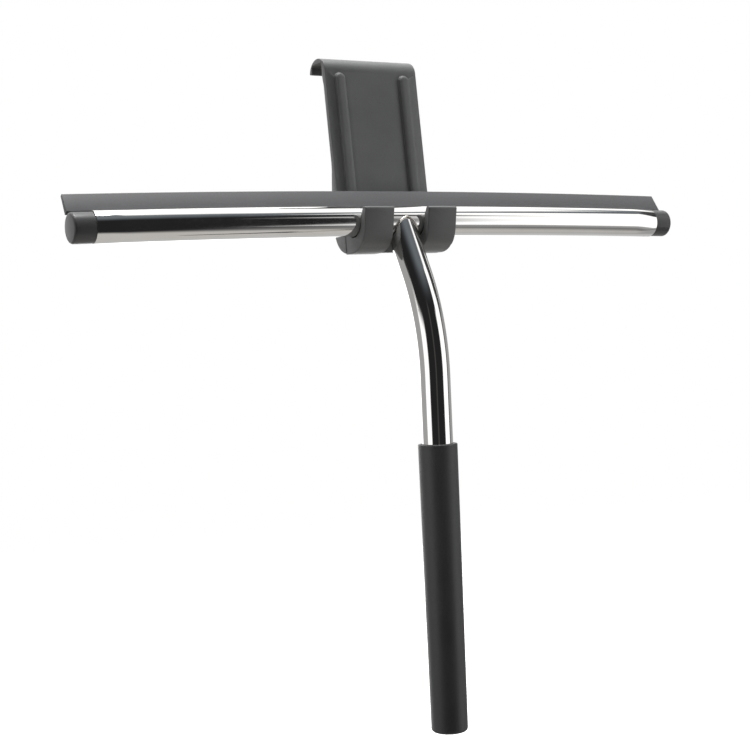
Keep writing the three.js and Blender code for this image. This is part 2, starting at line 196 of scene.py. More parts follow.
DARK_ROOM = (0.018, 0.018, 0.019)

world = bpy.data.worlds.new("studio")
bpy.context.scene.world = world
world.use_nodes = True
tree = world.node_tree
tree.nodes.clear()
direction = add_node(tree, "ShaderNodeTexCoord").outputs["Generated"]
axes = add_node(tree, "ShaderNodeSeparateXYZ")
tree.links.new(direction, axes.inputs[0])
towards_camera = maths(tree, "MULTIPLY", axes.outputs["Y"], -1)
azimuth = maths(tree, "DEGREES", maths(tree, "ARCTAN2", axes.outputs["X"], towards_camera))
elevation = maths(tree, "DEGREES", maths(tree, "ARCSINE", axes.outputs["Z"]))
dark = add_node(tree, "ShaderNodeRGB")
dark.outputs[0].default_value = (*DARK_ROOM, 1)
room = (dark.outputs[0], azimuth, elevation)
for _, turn, height, colour, strength, edges in PANELS:
    room = add_panel(tree, room, turn, height, colour, strength, edges)

seen = add_node(tree, "ShaderNodeBackground", in_Color=(1, 1, 1, 1), in_Strength=1.0)
lit = add_node(tree, "ShaderNodeBackground", in_Strength=1.0)
tree.links.new(room[0], lit.inputs["Color"])
choice = add_node(tree, "ShaderNodeMixShader")
path = add_node(tree, "ShaderNodeLightPath")
tree.links.new(path.outputs["Is Camera Ray"], choice.inputs[0])
tree.links.new(lit.outputs[0], choice.inputs[1])
tree.links.new(seen.outputs[0], choice.inputs[2])
output = add_node(tree, "ShaderNodeOutputWorld")
tree.links.new(choice.outputs[0], output.inputs["Surface"])
print("studio of", len(PANELS), "panels")

# %% [markdown]
# The floor is a pale round plane under the handle. Its edge fades out, so that no horizon cuts across
# the picture. It is left out of reflections and of bounced light, where the drawn table stands for it.

# %% Floor
FLOOR_DROP = 45 * MM
FLOOR_RADIUS = 1.6
FADE_START = 0.35
FADE_END = 0.95 * FLOOR_RADIUS

bpy.ops.object.select_all(action="DESELECT")
bpy.ops.mesh.primitive_circle_add(
    vertices=96, radius=FLOOR_RADIUS, fill_type="NGON", location=(0, 0, cad_low.z - FLOOR_DROP)
)
floor = bpy.context.object
floor.name = "studio_floor"
floor.visible_glossy = False
floor.visible_diffuse = False
floor_look = bpy.data.materials.new("pale_floor")
floor_look.use_nodes = True
tree = floor_look.node_tree
shader = tree.nodes["Principled BSDF"]
shader.inputs["Base Color"].default_value = (0.93, 0.93, 0.92, 1)
shader.inputs["Roughness"].default_value = 0.9
shader.inputs["Emission Color"].default_value = (1, 1, 1, 1)
shader.inputs["Emission Strength"].default_value = 0.35
place = add_node(tree, "ShaderNodeTexCoord")
far = add_node(tree, "ShaderNodeVectorMath", operation="LENGTH")
tree.links.new(place.outputs["Object"], far.inputs[0])
fade = add_node(tree, "ShaderNodeMapRange", interpolation_type="SMOOTHSTEP")
tree.links.new(far.outputs["Value"], fade.inputs["Value"])
fade.inputs["From Min"].default_value = FADE_START
fade.inputs["From Max"].default_value = FADE_END
fade.inputs["To Min"].default_value = 1
fade.inputs["To Max"].default_value = 0
tree.links.new(fade.outputs["Result"], shader.inputs["Alpha"])
floor.data.materials.append(floor_look)
print("floor at", round(floor.location.z, 4))

# %% [markdown]
# ## Finishes
# Each finish is a Principled shader whose colour, roughness and relief vary a little over the surface,
# as they do on anything that has been moulded, polished or handled. The patterns read Object
# coordinates, which are metres here, so a scale of 1000 makes spots of about a millimetre.

# %% Helpers for finishes
def begin_finish(name, **settings):
    """A new material, its node tree and its shader with the given constants set on its own sockets."""
    material = bpy.data.materials.new(name)
    material.use_nodes = True
    shader = material.node_tree.nodes["Principled BSDF"]
    for key, value in settings.items():
        shader.inputs[key.replace("_", " ")].default_value = value
    return material, material.node_tree, shader


def speckle(tree, scale, detail=3.0, stretch=(1, 1, 1)):
    """A noise pattern over the piece, scale in spots per metre, stretched along an axis if asked."""
    place = add_node(tree, "ShaderNodeTexCoord")
    mapping = add_node(tree, "ShaderNodeMapping", in_Scale=stretch)
    noise = add_node(tree, "ShaderNodeTexNoise", in_Scale=scale, in_Detail=detail)
    tree.links.new(place.outputs["Object"], mapping.inputs["Vector"])
    tree.links.new(mapping.outputs[0], noise.inputs["Vector"])
    return noise.outputs["Fac"]


def between(tree, pattern, low, high):
    """The pattern spread from low to high."""
    spread = add_node(tree, "ShaderNodeMapRange", clamp=True)
    tree.links.new(pattern, spread.inputs["Value"])
    spread.inputs["From Min"].default_value = 0.3
    spread.inputs["From Max"].default_value = 0.7
    spread.inputs["To Min"].default_value = low
    spread.inputs["To Max"].default_value = high
    return spread.outputs["Result"]


def tint(tree, pattern, darker, lighter):
    """A colour that drifts between two shades with the pattern."""
    ramp = add_node(tree, "ShaderNodeValToRGB")
    ramp.color_ramp.elements[0].position = 0.3
    ramp.color_ramp.elements[0].color = (*darker, 1)
    ramp.color_ramp.elements[1].position = 0.7
    ramp.color_ramp.elements[1].color = (*lighter, 1)
    tree.links.new(pattern, ramp.inputs["Fac"])
    return ramp.outputs["Color"]


def relief(tree, pattern, depth_mm, onto=None):
    """Bump from the pattern, its depth in millimetres."""
    bump = add_node(tree, "ShaderNodeBump", in_Strength=1.0, in_Distance=depth_mm * MM)
    tree.links.new(pattern, bump.inputs["Height"])
    if onto is not None:
        tree.links.new(onto, bump.inputs["Normal"])
    return bump.outputs["Normal"]


def shade(colour, factor):
    return tuple(channel * factor for channel in colour)


# %% [markdown]
# **Polished steel.** Stainless tube is buffed along its length, so what little texture it has runs that
# way: hairlines far finer than the eye resolves, which only stretch a highlight a touch. A faint haze
# comes and goes over a few centimetres, where the tube was wiped. The bar's hairlines run along X and
# the handle's along Z, so the same recipe is used twice.

# %% Polished steel
def polished_steel(name, along):
    material, tree, shader = begin_finish(name, Metallic=1.0)
    hairline = tuple(0.02 if axis == along else 1.0 for axis in "XYZ")
    lines = speckle(tree, 9000, 2.0, hairline)
    haze = speckle(tree, 60, 3.0)
    tree.links.new(tint(tree, haze, (0.80, 0.79, 0.77), (0.86, 0.855, 0.845)), shader.inputs["Base Color"])
    tree.links.new(between(tree, haze, 0.05, 0.09), shader.inputs["Roughness"])
    tree.links.new(relief(tree, lines, 0.0004), shader.inputs["Normal"])
    return material


bar_steel = polished_steel("polished_steel_bar", "X")
handle_steel = polished_steel("polished_steel_handle", "Z")


# %% [markdown]
# **Weld.** A bead that was brushed down after welding: duller than the tube, faintly straw coloured from
# the heat, with a fine ripple left in it.

# %% Weld steel
def brushed_weld():
    material, tree, shader = begin_finish("brushed_weld", Metallic=1.0)
    spots = speckle(tree, 900, 4.0)
    tree.links.new(tint(tree, spots, (0.66, 0.62, 0.56), (0.78, 0.76, 0.72)), shader.inputs["Base Color"])
    tree.links.new(between(tree, spots, 0.2, 0.32), shader.inputs["Roughness"])
    tree.links.new(relief(tree, spots, 0.003), shader.inputs["Normal"])
    return material


weld_steel = brushed_weld()


# %% [markdown]
# **Silicone, rubber and mouldings.** These are all satin, dark and faintly uneven. They differ in colour,
# in how tight the sheen is and in the grain: silicone is smooth with a bloom on it, the soft grip has
# the finest powdery grain, and the holder has the even sparkle of a spark-eroded mould. Soft light
# reaches less into a crease, so an ambient occlusion node darkens the colour there.

# %% Soft and moulded finishes
CREASE_SHADE_REACH = 2.5 * MM


def satin(name, colour, roughness, grain_scale, grain_mm, drift=0.1, **settings):
    """A satin finish with a fine grain, a drift in colour over a few centimetres and painted shade in its
    creases.
    """
    material, tree, shader = begin_finish(name, **settings)
    cloud = speckle(tree, 45, 4.0)
    grain = speckle(tree, grain_scale, 2.0)
    colours = tint(tree, cloud, shade(colour, 1 - drift), shade(colour, 1 + drift))
    fleck = add_node(tree, "ShaderNodeMix", data_type="RGBA", blend_type="MULTIPLY", in_0=1.0)
    tree.links.new(colours, fleck.inputs[6])
    tree.links.new(tint(tree, grain, (0.9, 0.9, 0.9), (1.0, 1.0, 1.0)), fleck.inputs[7])
    # Painted shade: the ambient occlusion node darkens the base colour where the surface folds into a crease.
    crease_shade = add_node(
        tree, "ShaderNodeAmbientOcclusion", samples=8, only_local=True, in_Distance=CREASE_SHADE_REACH
    )
    tree.links.new(fleck.outputs[2], crease_shade.inputs["Color"])
    tree.links.new(crease_shade.outputs["Color"], shader.inputs["Base Color"])
    tree.links.new(between(tree, cloud, roughness - 0.04, roughness + 0.04), shader.inputs["Roughness"])
    tree.links.new(relief(tree, grain, grain_mm), shader.inputs["Normal"])
    return material


grey_silicone = satin("grey_silicone", (0.135, 0.136, 0.140), 0.58, 1500, 0.008, drift=0.05)
cap_plastic = satin("cap_plastic", (0.092, 0.092, 0.093), 0.34, 1800, 0.01)
grip_rubber = satin("grip_rubber", (0.078, 0.078, 0.080), 0.5, 2600, 0.02)
holder_plastic = satin("holder_plastic", (0.205, 0.208, 0.207), 0.48, 2200, 0.018)
pad_silicone = satin("pad_silicone", (0.03, 0.03, 0.031), 0.6, 1500, 0.01)
inner_plastic = satin("inner_plastic", (0.02, 0.02, 0.021), 0.5, 1500, 0.01)
print(len(bpy.data.materials), "finishes")

# %% [markdown]
# ## Working by hand, in code
# Each piece starts as a primitive and is shaped in edit mode. In a script the part that a hand does with
# the mouse, choosing what to work on, is a question asked of every vertex, edge or face. These helpers
# open a primitive for editing, choose in that way, and extrude what is chosen.

# %% Helpers for modelling
TINY = 0.001 * MM


def close():
    """Leaves edit mode."""
    if bpy.context.object and bpy.context.object.mode == "EDIT":
        bpy.ops.object.mode_set(mode="OBJECT")


def begin(name, primitive, **settings):
    """Adds a primitive at its size and place, bakes the place into the mesh and opens it."""
    close()
    bpy.ops.object.select_all(action="DESELECT")
    primitive(**settings)
    bpy.ops.object.transform_apply(location=True, rotation=True, scale=True)
    piece = bpy.context.object
    piece.name = piece.data.name = name
    bpy.ops.object.mode_set(mode="EDIT")
    return piece


def choose(kind, wanted):
    """Selects the vertices, edges or faces (VERT, EDGE, FACE) for which wanted says yes."""
    bpy.ops.mesh.select_mode(type=kind)
    bpy.ops.mesh.select_all(action="DESELECT")
    data = bpy.context.object.data
    mesh = bmesh.from_edit_mesh(data)
    found = [e for e in {"VERT": mesh.verts, "EDGE": mesh.edges, "FACE": mesh.faces}[kind] if wanted(e)]
    for element in found:
        element.select_set(True)
    mesh.select_flush_mode()
    bmesh.update_edit_mesh(data)
    return len(found)


def choose_all():
    bpy.ops.mesh.select_mode(type="VERT")
    bpy.ops.mesh.select_all(action="SELECT")


def extrude(x=0.0, y=0.0, z=0.0):
    bpy.ops.mesh.extrude_region_move(TRANSFORM_OT_translate={"value": (x, y, z)})


def middle(element):
    """The middle of an edge or a face."""
    points = [v.co for v in element.verts]
    return sum(points, Vector()) / len(points)


def mend():
    """Merges doubles and turns the faces outwards."""
    choose_all()
    bpy.ops.mesh.remove_doubles(threshold=TINY)
    bpy.ops.mesh.normals_make_consistent(inside=False)


def flip_if(wrong):
    """Turns the whole surface round if any face looks the wrong way."""
    if choose("FACE", wrong):
        choose_all()
        bpy.ops.mesh.flip_normals()


def modify(piece, kind, **settings):
    """Adds a modifier and applies it at once."""
    close()
    bpy.context.view_layer.objects.active = piece
    modifier = piece.modifiers.new(kind.lower(), kind)
    for key, value in settings.items():
        setattr(modifier, key, value)
    bpy.ops.object.modifier_apply(modifier=modifier.name)


def soften(piece, width_mm, segments=3, angle=40):
    """Rounds every edge sharper than the angle."""
    modify(
        piece,
        "BEVEL",
        width=width_mm * MM,
        segments=segments,
        limit_method="ANGLE",
        angle_limit=math.radians(angle),
        miter_outer="MITER_ARC",
    )


def combine(piece, other, operation):
    """Cuts other from piece, or joins it on, and removes other."""
    modify(piece, "BOOLEAN", operation=operation, object=other, solver="EXACT")
    bpy.data.objects.remove(other)


def pick(piece):
    """Leaves edit mode with this piece alone selected."""
    close()
    bpy.ops.object.select_all(action="DESELECT")
    piece.select_set(True)
    bpy.context.view_layer.objects.active = piece


def settle(piece, placing):
    """Moves and turns a piece by a matrix, and bakes that into its mesh."""
    pick(piece)
    piece.matrix_world = placing
    bpy.ops.object.transform_apply(location=True, rotation=True, scale=True)


def move_to(piece, place, lean=0.0):
    """Leans a finished piece about X and sets it down."""
    settle(piece, Matrix.Translation(place) @ Matrix.Rotation(lean, 4, "X"))


def copy_of(piece, name):
    """A copy of a piece, with its own mesh."""
    pick(piece)
    bpy.ops.object.duplicate(linked=False)
    copy = bpy.context.object
    copy.name = copy.data.name = name
    return copy


def hand_over(piece, look, body, node, smooth=30):
    """Shades a finished piece, gives it its finish and puts it on its CAD body."""
    pick(piece)
    bpy.ops.object.shade_smooth_by_angle(angle=math.radians(smooth))
    piece.data.materials.clear()
    piece.data.materials.append(look)
    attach(piece, body)
    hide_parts(node)
    mesh = bmesh.new()
    mesh.from_mesh(piece.data)
    loose = sum(1 for edge in mesh.edges if not edge.is_manifold)
    volume = mesh.calc_volume(signed=True) / MM**3
    mesh.free()
    print(f"{piece.name}: {len(piece.data.polygons)} faces, {loose} open edges, {volume:.0f} mm3")


# %% [markdown]
# ## Crossbar
# On the real object this is a thin stainless tube, taken to have a slot along it for the blade, and bowed
# very slightly, with its ends a little behind its middle. It could be a cylinder cut by a box, but a
# boolean leaves ragged shading on a mirror finish. Here a circle loses the few vertices where the slot
# goes, is extruded station by station along the bow, and is then given its wall. The bar is modelled
# with its blade pointing straight up, and leaned to its resting angle at the end.

# %% Values for the bar and the blade
BAR_WALL = 1.0 * MM
BAR_BOW = 2.15 * MM
BLADE_LEAN = math.radians(-28.2)
GAP = 0.3 * MM
NECK = 1.8 * MM
BULB_R = 2.6 * MM
CORE_R = 0.9 * MM
BULB_HEIGHT = BAR_R - BAR_WALL - GAP - BULB_R
SLOT_HALF = NECK / 2 + 0.6 * GAP
STATIONS = 24


def sag(x):
    """How far the bow drops the bar at x."""
    return -BAR_BOW * (x / HALF_SPAN) ** 2


def run_along_bar(start, end, steps=STATIONS):
    """Extrudes the chosen section along the bowed bar."""
    for step in range(steps):
        here = start + (end - start) * step / steps
        there = start + (end - start) * (step + 1) / steps
        extrude(x=there - here, z=sag(there) - sag(here))


# %% Crossbar
def make_crossbar():
    piece = begin(
        "steel_crossbar",
        bpy.ops.mesh.primitive_circle_add,
        vertices=96,
        radius=BAR_R,
        location=(-HALF_BAR, 0, sag(HALF_BAR)),
        rotation=(0, math.pi / 2, 0),
    )
    choose("VERT", lambda v: v.co.z > 0 and abs(v.co.y) < SLOT_HALF)
    bpy.ops.mesh.delete(type="VERT")
    choose_all()
    run_along_bar(-HALF_BAR, HALF_BAR)
    mend()
    flip_if(lambda f: middle(f).z < 0 and f.normal.z > 0.5)
    modify(piece, "SOLIDIFY", thickness=BAR_WALL, offset=-1, use_even_offset=True)
    soften(piece, 0.12, segments=2, angle=50)
    move_to(piece, BAR_AXIS, BLADE_LEAN)
    return piece


hand_over(make_crossbar(), bar_steel, "squeegee", "crossbar_tube")


# %% [markdown]
# ## Blade and its core
# The blade is extruded silicone: a round bulb that is threaded into the tube, a neck that passes the
# slot, and a tapered lip that wipes. A stiff rod in the bulb keeps it from pulling out. The section is
# drawn as a hand would draw it, one vertex extruded from corner to corner, and run along the same bow.
# The lip alone carries on over the end caps.

# %% Helpers for outlines
def draw_outline(x, points):
    """Adds one closed outline across the bar to the open mesh, from its (y, z) points in metres."""
    bpy.ops.mesh.select_mode(type="VERT")
    bpy.ops.mesh.primitive_plane_add(size=MM, location=(0, 0, 0))
    bpy.ops.mesh.merge(type="CENTER")
    bpy.ops.transform.translate(value=(x, *points[0]))
    for (y0, z0), (y1, z1) in zip(points, points[1:]):
        extrude(y=y1 - y0, z=z1 - z0)


def arc(y, z, radius, start, end, steps):
    """Points on a round stretch, from one angle to another in degrees. A pair of radii is an ellipse."""
    wide, high = radius if isinstance(radius, tuple) else (radius, radius)
    turns = [math.radians(start + (end - start) * k / steps) for k in range(steps + 1)]
    return [(y + wide * math.cos(t), z + high * math.sin(t)) for t in turns]


def curve(start, bend, end, steps):
    """Points on a quadratic curve that leaves start towards bend and arrives at end from it."""
    found = []
    for k in range(steps + 1):
        t = k / steps
        a, b, c = (1 - t) ** 2, 2 * t * (1 - t), t * t
        found.append(tuple(a * s + b * m + c * e for s, m, e in zip(start, bend, end)))
    return found


# %% Blade
LIP_BASE = 2.4 * MM
LIP_TIP = 1.3 * MM
LIP_HEIGHT = 8.75 * MM


def open_mesh(name):
    """An empty mesh of that name, open in edit mode."""
    piece = begin(name, bpy.ops.mesh.primitive_plane_add, size=MM)
    choose_all()
    bpy.ops.mesh.delete(type="VERT")
    return piece


def make_blade():
    end = HALF_BAR - GAP
    drop = sag(end)
    base, tip, neck = BAR_R + GAP + drop, BAR_R + LIP_HEIGHT + drop, NECK / 2
    centre = BULB_HEIGHT + drop
    opening = math.degrees(math.acos(neck / BULB_R))
    piece = open_mesh("silicone_blade")
    root = [(-neck, base), *arc(0, centre, BULB_R, 180 - opening, 360 + opening, 40), (neck, base)]
    draw_outline(-end, [*root, root[0]])
    draw_outline(-end, arc(0, centre, CORE_R + GAP, 0, 360, 24))
    choose_all()
    bpy.ops.mesh.remove_doubles(threshold=TINY)
    choose_all()
    bpy.ops.mesh.fill(use_beauty=True)
    lip = [(neck, base), (LIP_BASE / 2, base), (LIP_TIP / 2, tip), (-LIP_TIP / 2, tip), (-LIP_BASE / 2, base)]
    draw_outline(-end, [*lip, (-neck, base)])
    choose_all()
    bpy.ops.mesh.remove_doubles(threshold=TINY)
    choose("VERT", lambda v: v.co.z > base - TINY)
    bpy.ops.mesh.edge_face_add()
    choose_all()
    run_along_bar(-end, end)
    for side in (-1, 1):
        choose("FACE", lambda f: abs(middle(f).x - side * end) < TINY and middle(f).z > base)
        run_along_bar(side * end, side * HALF_SPAN, 2)
    mend()
    soften(piece, 0.22, segments=3, angle=50)
    move_to(piece, BAR_AXIS, BLADE_LEAN)
    return piece


hand_over(make_blade(), grey_silicone, "squeegee", "blade")


# %% The rod in the blade's root
def make_core():
    end = HALF_BAR - 2 * GAP
    piece = begin(
        "blade_core_rod",
        bpy.ops.mesh.primitive_circle_add,
        vertices=32,
        radius=CORE_R,
        fill_type="NGON",
        location=(-end, 0, BULB_HEIGHT + sag(end)),
        rotation=(0, math.pi / 2, 0),
    )
    choose_all()
    run_along_bar(-end, end)
    mend()
    soften(piece, 0.25, segments=3, angle=50)
    move_to(piece, BAR_AXIS, BLADE_LEAN)
    return piece


hand_over(make_core(), inner_plastic, "squeegee", "blade_core")

# %% [markdown]
# ## End caps
# Each cap is a turned-looking plug: a collar a shade smaller than the tube, with a softly rounded end,
# and a stem in the bore that leaves room for the blade's bulb. Inset and extrude make the stem from the
# collar's inner face. The right cap is modelled, and the left one is a copy turned half round.

# %% End caps
CAP_STEP = 0.35 * MM
CAP_ROUNDING = 1.0 * MM
CAP_STEM = 9.0 * MM
STEM_ROUNDING = 0.8 * MM


def make_cap(name):
    """The right cap, about the bar's axis."""
    collar = BAR_R - CAP_STEP
    inner = HALF_BAR + 0.4 * GAP
    piece = begin(
        name,
        bpy.ops.mesh.primitive_cylinder_add,
        vertices=96,
        radius=collar,
        depth=HALF_SPAN - inner,
        location=((HALF_SPAN + inner) / 2, 0, 0),
        rotation=(0, math.pi / 2, 0),
    )
    choose("FACE", lambda f: f.normal.x > 0.9)
    bpy.ops.mesh.bevel(offset=CAP_ROUNDING, segments=8, affect="EDGES")
    choose("FACE", lambda f: f.normal.x < -0.9)
    bpy.ops.mesh.inset(thickness=collar - (BAR_R - BAR_WALL - GAP))
    extrude(x=-CAP_STEM)
    bpy.ops.mesh.bevel(offset=STEM_ROUNDING, segments=3, affect="EDGES")
    room = begin(
        "room_for_bulb",
        bpy.ops.mesh.primitive_cube_add,
        size=1,
        scale=(CAP_STEM + 4 * GAP, 4 * BAR_R, 2 * BAR_R),
        location=(inner - CAP_STEM / 2 - 2 * GAP, 0, BULB_HEIGHT - BULB_R - GAP + BAR_R),
    )
    combine(piece, room, "DIFFERENCE")
    drop = Matrix.Translation((0, 0, sag((HALF_BAR + HALF_SPAN) / 2)))
    slope = Matrix.Rotation(2 * BAR_BOW * HALF_BAR / HALF_SPAN**2, 4, "Y")
    centre = Vector((HALF_BAR, 0, sag(HALF_BAR)))
    settle(piece, Matrix.Translation(centre) @ slope @ Matrix.Translation(-centre) @ drop)
    return piece


right_cap = make_cap("right_end_cap")
left_cap = copy_of(right_cap, "left_end_cap")
settle(left_cap, Matrix.Rotation(math.pi, 4, "Z"))
for side, cap in (("right", right_cap), ("left", left_cap)):
    move_to(cap, BAR_AXIS, BLADE_LEAN)
    hand_over(cap, cap_plastic, "squeegee", f"end_cap_{side}")

# %% [markdown]
# ## Handle
# The handle is taken to be the same half-inch tube, bent: straight, a round bend, straight. Spin makes
# exactly that bend. A circle is extruded down the first straight, spun about the bend's centre, and
# extruded again. The top is then cut to the bar's own curve, which a fitter calls coping.

# %% Values for the handle
HANDLE_R = 6.35 * MM
HANDLE_WALL = 1.0 * MM
TOP_ANGLE = math.radians(25.3)
LOW_ANGLE = math.radians(-3.2)
BEND_R = 89.5 * MM
TOP_LENGTH = 25.4 * MM
STRAIGHT = 27.4 * MM
GRIP_LENGTH = 118.4 * MM
GRIP_FLOOR = 3.0 * MM
PLUG_HEAD = 1.5 * MM
HANDLE_INSIDE_BAR = 3.0 * MM
CLOSE_FIT = 0.1 * GAP
BEND_LENGTH = BEND_R * (TOP_ANGLE - LOW_ANGLE)
GRIP_START = TOP_LENGTH + BEND_LENGTH + STRAIGHT
HANDLE_END = GRIP_START + GRIP_LENGTH - GRIP_FLOOR - PLUG_HEAD - 2 * GAP


def down_along(angle):
    """The way that the handle runs where it leans forward by the angle."""
    return Vector((0, -math.sin(angle), -math.cos(angle)))


BEND_START = BAR_AXIS + TOP_LENGTH * down_along(TOP_ANGLE)
BEND_CENTRE = BEND_START + BEND_R * Vector((0, math.cos(TOP_ANGLE), -math.sin(TOP_ANGLE)))
BEND_END = BEND_CENTRE - BEND_R * Vector((0, math.cos(LOW_ANGLE), -math.sin(LOW_ANGLE)))


def on_handle(length):
    """The point on the handle's lower straight, by its length along the handle."""
    return BEND_END + (length - TOP_LENGTH - BEND_LENGTH) * down_along(LOW_ANGLE)


# %% Handle tube
def make_handle():
    piece = begin(
        "bent_steel_handle",
        bpy.ops.mesh.primitive_circle_add,
        vertices=96,
        radius=HANDLE_R,
        location=BAR_AXIS + HANDLE_INSIDE_BAR * down_along(TOP_ANGLE),
        rotation=(-TOP_ANGLE, 0, 0),
    )
    choose_all()
    extrude(*((TOP_LENGTH - HANDLE_INSIDE_BAR) * down_along(TOP_ANGLE)))
    bpy.ops.mesh.spin(steps=32, angle=LOW_ANGLE - TOP_ANGLE, center=BEND_CENTRE, axis=(1, 0, 0))
    extrude(*(on_handle(HANDLE_END) - BEND_END))
    mend()
    flip_if(lambda f: middle(f).x > 0 and f.normal.x < -0.5)
    modify(piece, "SOLIDIFY", thickness=HANDLE_WALL, offset=-1, use_even_offset=True)
    bar = begin(
        "coping_cutter",
        bpy.ops.mesh.primitive_cylinder_add,
        vertices=192,
        radius=BAR_R + CLOSE_FIT,
        depth=6 * BAR_R,
        location=BAR_AXIS,
        rotation=(0, math.pi / 2, 0),
    )
    combine(piece, bar, "DIFFERENCE")
    return piece


hand_over(make_handle(), handle_steel, "squeegee", "handle_tube", smooth=40)
print("handle ends at", tuple(round(v, 4) for v in on_handle(HANDLE_END)))

# %% [markdown]
# ## Weld bead
# A weld between two round tubes runs along a saddle. A torus gives the ring, and each of its sections is
# then lifted until it rides on the bar's curve.

# %% Weld bead
WELD_SIZE = 0.5 * MM
WELD_SECTIONS = 96
WELD_SEAT = BAR_R + 0.6 * WELD_SIZE


def make_weld():
    ring = HANDLE_R + CLOSE_FIT
    piece = begin(
        "weld_seam",
        bpy.ops.mesh.primitive_torus_add,
        major_segments=WELD_SECTIONS,
        minor_segments=16,
        major_radius=ring,
        minor_radius=WELD_SIZE,
    )
    for step in range(WELD_SECTIONS // 4 + 1):
        turn = 2 * math.pi * step / WELD_SECTIONS
        choose("VERT", lambda v: abs(math.atan2(abs(v.co.y), abs(v.co.x)) - turn) < 0.001)
        lift = math.sqrt(WELD_SEAT**2 - (ring * math.sin(turn)) ** 2)
        bpy.ops.transform.translate(value=(0, 0, lift))
    mend()
    move_to(piece, BAR_AXIS, math.pi - TOP_ANGLE)
    return piece


hand_over(make_weld(), weld_steel, "squeegee", "weld_bead", smooth=80)

# %% [markdown]
# ## Grip and the plug inside it
# The grip is a dipped or moulded sleeve with a closed, rounded end, a little fatter at the top. A cylinder
# is tapered by scaling its lower ring, and hollowed by an inset and an extrusion down its middle. The
# plug that closes the tube can't be seen. It is given ribs, as a push-in plug has, made by insets and
# extrusions in turn.

# %% Grip
GRIP_TOP_WALL = 1.45 * MM
GRIP_LOW_WALL = 0.9 * MM
GRIP_ROUNDING = 1.3 * MM
GRIP_TOP_R = HANDLE_R + GAP + GRIP_TOP_WALL
GRIP_LOW_R = HANDLE_R + GAP + GRIP_LOW_WALL


def make_grip():
    piece = begin(
        "soft_grip",
        bpy.ops.mesh.primitive_cylinder_add,
        vertices=96,
        radius=GRIP_TOP_R,
        depth=GRIP_LENGTH,
        location=(0, 0, -GRIP_LENGTH / 2),
    )
    choose("FACE", lambda f: f.normal.z < -0.9)
    taper = GRIP_LOW_R / GRIP_TOP_R
    bpy.ops.transform.resize(value=(taper, taper, 1), center_override=(0, 0, -GRIP_LENGTH))
    bpy.ops.mesh.bevel(offset=GRIP_ROUNDING, segments=6, affect="EDGES")
    choose("FACE", lambda f: f.normal.z > 0.9)
    bpy.ops.mesh.inset(thickness=GRIP_TOP_R - HANDLE_R - 0.2 * GAP)
    extrude(z=GRIP_FLOOR - GRIP_LENGTH)
    soften(piece, 0.45, segments=4, angle=50)
    move_to(piece, on_handle(GRIP_START), -LOW_ANGLE)
    return piece


hand_over(make_grip(), grip_rubber, "squeegee", "grip_sleeve")


# %% Plug in the end of the handle
PLUG_RIBS = 4
PLUG_RIB_STEP = 0.5 * MM
PLUG_RIB_WIDTH = 1.6 * MM
PLUG_GROOVE_WIDTH = 1.2 * MM
PLUG_TIP = 0.8 * MM


def make_plug():
    stem = HANDLE_R - HANDLE_WALL - GAP
    grown = stem / (stem - PLUG_RIB_STEP)
    piece = begin(
        "handle_inner_plug",
        bpy.ops.mesh.primitive_cylinder_add,
        vertices=64,
        radius=HANDLE_R - GAP,
        depth=PLUG_HEAD,
        location=(0, 0, -GAP - PLUG_HEAD / 2),
    )
    choose("FACE", lambda f: f.normal.z > 0.9)
    bpy.ops.mesh.inset(thickness=HANDLE_R - GAP - stem)
    for _ in range(PLUG_RIBS):
        extrude(z=PLUG_RIB_WIDTH)
        bpy.ops.mesh.inset(thickness=PLUG_RIB_STEP)
        extrude(z=PLUG_GROOVE_WIDTH)
        extrude()
        bpy.ops.transform.resize(value=(grown, grown, 1))
    extrude(z=PLUG_TIP)
    soften(piece, 0.15, segments=2, angle=50)
    move_to(piece, on_handle(HANDLE_END), -LOW_ANGLE)
    return piece


hand_over(make_plug(), inner_plastic, "squeegee", "handle_end_plug")

# %% [markdown]
# ## Holder
# One moulding does three jobs: a hook over the top edge of the glass, a leaning plate with two
# stiffening ribs, and two cradles that the bar drops into. Its side view says nearly everything, so the
# plate and the cradles are outlines run along X. A rib is a stack of insets on a stadium shape, first
# rising in a hollow fillet and then closing in a round top, so that it grows out of the plate as a
# moulded rib does. One cradle and one rib are modelled, and the others are copies moved across.

# %% Values for the holder
CRADLE_R = BAR_R + 0.35 * MM
CRADLE_WALL = 2.8 * MM
CRADLE_LEAN = 1.8 * MM
CRADLE_RISE = 4.9 * MM
CRADLE_INSET = 0.25 * MM
HALF_PLATE = 22.45 * MM
PLATE_STANDOFF = 3.65 * MM
PLATE_THICKNESS = 2.55 * MM
PLATE_SLOPE = math.tan(math.radians(3.15))
GLASS_PLANE = CRADLE_R + 10.3 * MM
GLASS_SLOT = 8.4 * MM
HOOK_TOP = 72.0 * MM
HOOK_ROUND = 6.0 * MM
HOOK_LIP = 5.5 * MM
LIP_WALL = 2.3 * MM
SEAT_DROP = 2.2 * MM
HANDLE_ROOM = 1.7 * MM
CRADLE_INNER = HANDLE_R + GAP + HANDLE_ROOM
CRADLE_OUTER = HALF_PLATE - CRADLE_INSET
CRADLE_BOTTOM = CRADLE_R + 6.4 * MM
FOOT_BOTTOM = CRADLE_BOTTOM - 0.7 * MM
PAD_STANDS_OUT = 1.0 * MM
FOOT_BACK = GLASS_PLANE - PAD_STANDS_OUT
FOOT_TOP = 24.0 * MM
PAD_HALF = 19.0 * MM
PAD_HEIGHT = 10.0 * MM
PAD_THICKNESS = 1.2 * MM
PAD_CORNER = 1.2 * MM


def plate_front(z):
    return CRADLE_R + PLATE_STANDOFF + PLATE_SLOPE * z


def plate_back(z):
    return plate_front(z) + PLATE_THICKNESS


